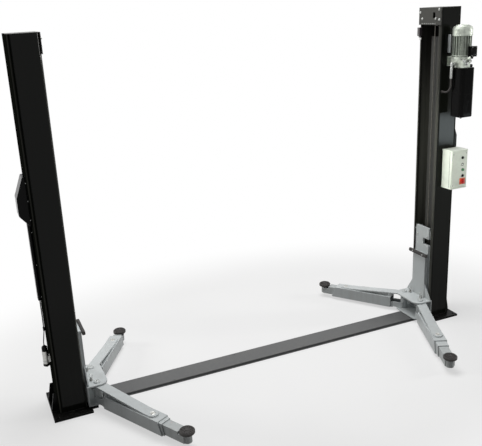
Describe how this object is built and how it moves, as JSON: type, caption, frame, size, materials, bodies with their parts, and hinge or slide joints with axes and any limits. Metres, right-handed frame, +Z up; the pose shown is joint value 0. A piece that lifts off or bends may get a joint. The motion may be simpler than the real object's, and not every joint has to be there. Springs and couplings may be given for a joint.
{
  "type": "two post car lift",
  "caption": "Two post car lift with open channel columns, telescopic swing arms, sliding carriages, a floor cover and an electro-hydraulic power unit.",
  "frame": {"origin": "on the floor, midway between the two columns, at the underside of the floor plate", "axes": "+X from the left column to the right column that carries the power unit, +Y away from the control side, +Z up"},
  "size_m": [3.8246, 1.8835, 2.82],
  "materials": {
    "black_paint": "gloss black paint on folded steel",
    "grey_paint": "light grey paint on steel plate and tube",
    "cover_paint": "dark grey paint on sheet steel",
    "rubber": "moulded black rubber",
    "steel": "plain and galvanised steel",
    "cast_aluminium": "die cast aluminium",
    "box_plastic": "off-white moulded enclosure",
    "black_plastic": "black plastic and painted sheet",
    "green_plastic": "green push button",
    "red_plastic": "red rotary switch"
  },
  "bodies": {
    "frame": {"floor_plate": "cover_paint", "floor_cover": "cover_paint", "base_plate_left": "black_paint", "base_plate_right": "black_paint", "column_left": "black_paint", "column_right": "black_paint", "head_plate_left": "black_paint", "head_plate_right": "black_paint", "head_sheave_left": "steel", "head_sheave_right": "steel", "rope_left": "steel", "rope_right": "steel", "cylinder_guard_left": "black_paint", "cylinder_guard_right": "black_paint", "lock_cover_left": "black_plastic", "lock_cover_right": "black_plastic", "lock_solenoid_left": "steel", "lock_solenoid_right": "steel", "limit_switch": "black_plastic", "pump_block": "cast_aluminium", "tank": "black_plastic", "motor": "cast_aluminium", "fan_cowl": "cast_aluminium", "terminal_box": "black_plastic", "control_box": "box_plastic"},
    "carriage_left": {"carriage_left": "grey_paint", "door_guard_left": "rubber"},
    "carriage_right": {"carriage_right": "grey_paint", "door_guard_right": "rubber"},
    "arm_left_front": {"arm_left_front": "grey_paint"},
    "arm_left_front_middle": {"arm_left_front_middle": "grey_paint"},
    "arm_left_front_inner": {"arm_left_front_inner": "grey_paint"},
    "pad_left_front": {"pad_left_front": "rubber"},
    "arm_left_rear": {"arm_left_rear": "grey_paint"},
    "arm_left_rear_middle": {"arm_left_rear_middle": "grey_paint"},
    "arm_left_rear_inner": {"arm_left_rear_inner": "grey_paint"},
    "pad_left_rear": {"pad_left_rear": "rubber"},
    "arm_right_front": {"arm_right_front": "grey_paint"},
    "arm_right_front_middle": {"arm_right_front_middle": "grey_paint"},
    "arm_right_front_inner": {"arm_right_front_inner": "grey_paint"},
    "pad_right_front": {"pad_right_front": "rubber"},
    "arm_right_rear": {"arm_right_rear": "grey_paint"},
    "arm_right_rear_middle": {"arm_right_rear_middle": "grey_paint"},
    "arm_right_rear_inner": {"arm_right_rear_inner": "grey_paint"},
    "pad_right_rear": {"pad_right_rear": "rubber"},
    "up_button": {"up_button": "green_plastic"},
    "lock_button": {"lock_button": "black_plastic"},
    "main_switch": {"main_switch": "red_plastic"}
  },
  "joints": [
    {"name": "left_carriage_lift", "type": "slide", "parent": "frame", "child": "carriage_left", "axis": [0, 0, 1], "range_m": [0, 1.79]},
    {"name": "right_carriage_lift", "type": "slide", "parent": "frame", "child": "carriage_right", "axis": [0, 0, 1], "range_m": [0, 1.79]},
    {"name": "left_front_swing", "type": "hinge", "parent": "carriage_left", "child": "arm_left_front", "pos_m": [-1.528, -0.12, 0.1], "axis": [0, 0, -1], "range_deg": [-61.5, 28.5]},
    {"name": "left_front_middle_reach", "type": "slide", "parent": "arm_left_front", "child": "arm_left_front_middle", "axis": [0.4772, -0.8788, 0], "range_m": [-0.02, 0.24]},
    {"name": "left_front_inner_reach", "type": "slide", "parent": "arm_left_front_middle", "child": "arm_left_front_inner", "axis": [0.4772, -0.8788, 0], "range_m": [-0.143, 0.117]},
    {"name": "left_front_pad_height", "type": "slide", "parent": "arm_left_front_inner", "child": "pad_left_front", "axis": [0, 0, 1], "range_m": [0, 0.05]},
    {"name": "left_rear_swing", "type": "hinge", "parent": "carriage_left", "child": "arm_left_rear", "pos_m": [-1.528, 0.12, 0.1], "axis": [0, 0, 1], "range_deg": [-59.1, 30.9]},
    {"name": "left_rear_middle_reach", "type": "slide", "parent": "arm_left_rear", "child": "arm_left_rear_middle", "axis": [0.5135, 0.8581, 0], "range_m": [0, 0.24]},
    {"name": "left_rear_inner_reach", "type": "slide", "parent": "arm_left_rear_middle", "child": "arm_left_rear_inner", "axis": [0.5135, 0.8581, 0], "range_m": [-0.036, 0.204]},
    {"name": "left_rear_pad_height", "type": "slide", "parent": "arm_left_rear_inner", "child": "pad_left_rear", "axis": [0, 0, 1], "range_m": [0, 0.05]},
    {"name": "right_front_swing", "type": "hinge", "parent": "carriage_right", "child": "arm_right_front", "pos_m": [1.528, -0.12, 0.1], "axis": [0, 0, 1], "range_deg": [-66.7, 23.3]},
    {"name": "right_front_middle_reach", "type": "slide", "parent": "arm_right_front", "child": "arm_right_front_middle", "axis": [-0.3955, -0.9184, 0], "range_m": [-0.066, 0.174]},
    {"name": "right_front_inner_reach", "type": "slide", "parent": "arm_right_front_middle", "child": "arm_right_front_inner", "axis": [-0.3955, -0.9184, 0], "range_m": [-0.125, 0.115]},
    {"name": "right_front_pad_height", "type": "slide", "parent": "arm_right_front_inner", "child": "pad_right_front", "axis": [0, 0, 1], "range_m": [0, 0.05]},
    {"name": "right_rear_swing", "type": "hinge", "parent": "carriage_right", "child": "arm_right_rear", "pos_m": [1.528, 0.12, 0.1], "axis": [0, 0, -1], "range_deg": [-54.3, 35.7]},
    {"name": "right_rear_middle_reach", "type": "slide", "parent": "arm_right_rear", "child": "arm_right_rear_middle", "axis": [-0.5835, 0.8121, 0], "range_m": [0, 0.26]},
    {"name": "right_rear_inner_reach", "type": "slide", "parent": "arm_right_rear_middle", "child": "arm_right_rear_inner", "axis": [-0.5835, 0.8121, 0], "range_m": [-0.064, 0.196]},
    {"name": "right_rear_pad_height", "type": "slide", "parent": "arm_right_rear_inner", "child": "pad_right_rear", "axis": [0, 0, 1], "range_m": [0, 0.05]},
    {"name": "up_button_press", "type": "slide", "parent": "frame", "child": "up_button", "axis": [0, 1, 0], "range_m": [0, 0.004], "stiffness_N_per_m": 400, "springref_m": -0.002},
    {"name": "lock_button_press", "type": "slide", "parent": "frame", "child": "lock_button", "axis": [0, 1, 0], "range_m": [0, 0.004], "stiffness_N_per_m": 400, "springref_m": -0.002},
    {"name": "main_switch_turn", "type": "hinge", "parent": "frame", "child": "main_switch", "pos_m": [1.813, -0.2703, 1.344], "axis": [0, 1, 0], "range_deg": [0, 90]}
  ],
  "couplings": [
    {"joint": "right_carriage_lift", "follows": "left_carriage_lift", "ratio": 1}
  ]
}
